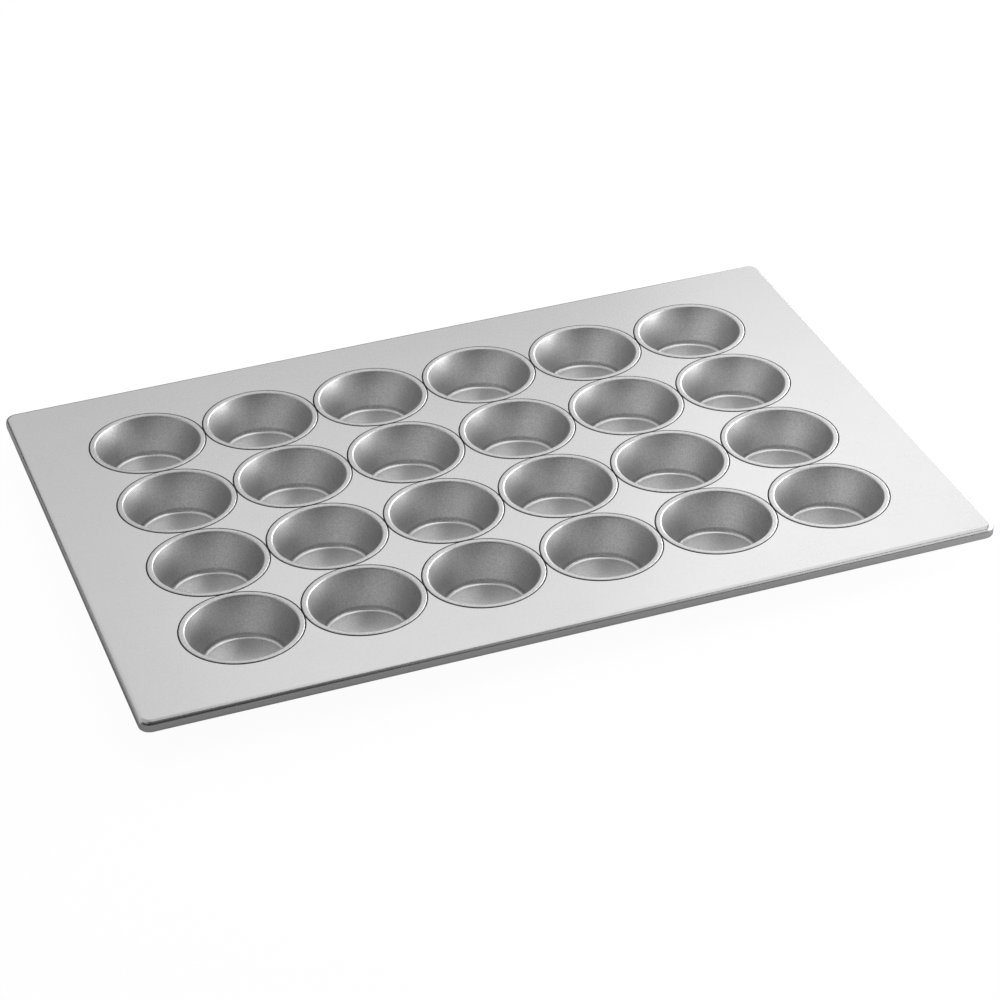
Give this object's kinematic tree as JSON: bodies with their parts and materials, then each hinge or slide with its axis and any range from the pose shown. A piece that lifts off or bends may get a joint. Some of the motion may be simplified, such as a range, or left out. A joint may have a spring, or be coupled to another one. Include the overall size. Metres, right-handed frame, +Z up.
{
  "type": "muffin tin",
  "caption": "Full-size bakery muffin tin: shallow tapered steel cups with flat floors, seamed into a punched flat frame sheet with a wired, rolled rim.",
  "frame": {"origin": "centre of the tin in plan, on the surface that its cups stand on", "axes": "+X along the long side, +Y towards the back along the short side, +Z up out of the cups"},
  "size_m": [0.6572, 0.454, 0.0317],
  "materials": {
    "frame_steel": "satin aluminised steel sheet with a baked clear glaze",
    "cup_steel": "satin aluminised steel, drawn, with a fine grain and a baked clear glaze",
    "wire_steel": "plain drawn steel wire"
  },
  "bodies": {
    "root": {"frame_sheet": "frame_steel", "rim_wire": "wire_steel", "cup_r1_c1": "cup_steel", "cup_r1_c2": "cup_steel", "cup_r1_c3": "cup_steel", "cup_r1_c4": "cup_steel", "cup_r1_c5": "cup_steel", "cup_r1_c6": "cup_steel", "cup_r2_c1": "cup_steel", "cup_r2_c2": "cup_steel", "cup_r2_c3": "cup_steel", "cup_r2_c4": "cup_steel", "cup_r2_c5": "cup_steel", "cup_r2_c6": "cup_steel", "cup_r3_c1": "cup_steel", "cup_r3_c2": "cup_steel", "cup_r3_c3": "cup_steel", "cup_r3_c4": "cup_steel", "cup_r3_c5": "cup_steel", "cup_r3_c6": "cup_steel", "cup_r4_c1": "cup_steel", "cup_r4_c2": "cup_steel", "cup_r4_c3": "cup_steel", "cup_r4_c4": "cup_steel", "cup_r4_c5": "cup_steel", "cup_r4_c6": "cup_steel"}
  },
  "joints": []
}
